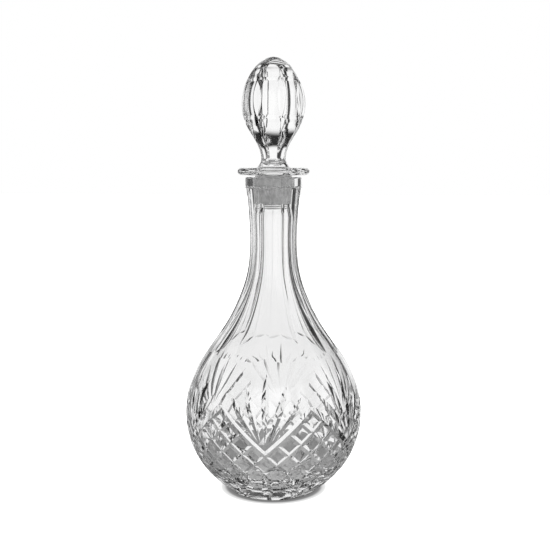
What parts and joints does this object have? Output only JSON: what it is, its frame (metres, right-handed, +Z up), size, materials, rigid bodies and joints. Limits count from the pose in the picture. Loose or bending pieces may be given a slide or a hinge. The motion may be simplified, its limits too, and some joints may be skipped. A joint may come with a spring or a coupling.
{
  "type": "wine decanter",
  "caption": "Round cut-glass decanter with a long fluted neck, a plastic seal sleeve and a lift-out glass stopper with a fluted egg finial.",
  "frame": {"origin": "centre of the foot's underside, where the decanter stands", "axes": "+Z up along the neck; -Y through the middle of one of the pattern's low points"},
  "size_m": [0.13, 0.1304, 0.3175],
  "materials": {
    "body_glass": "polished clear cut glass",
    "sleeve_plastic": "translucent matte plastic",
    "stopper_glass": "polished clear solid glass"
  },
  "bodies": {
    "decanter": {"decanter_body": "body_glass"},
    "seal": {"seal_sleeve": "sleeve_plastic"},
    "stopper": {"stopper": "stopper_glass"}
  },
  "joints": [
    {"name": "stopper_lift", "type": "slide", "parent": "decanter", "child": "seal", "axis": [0, 0, 1], "range_m": [0, 0.1]},
    {"name": "stopper_twist", "type": "hinge", "parent": "seal", "child": "stopper", "pos_m": [0, 0, 0.233], "axis": [0, 0, 1], "continuous": true}
  ]
}
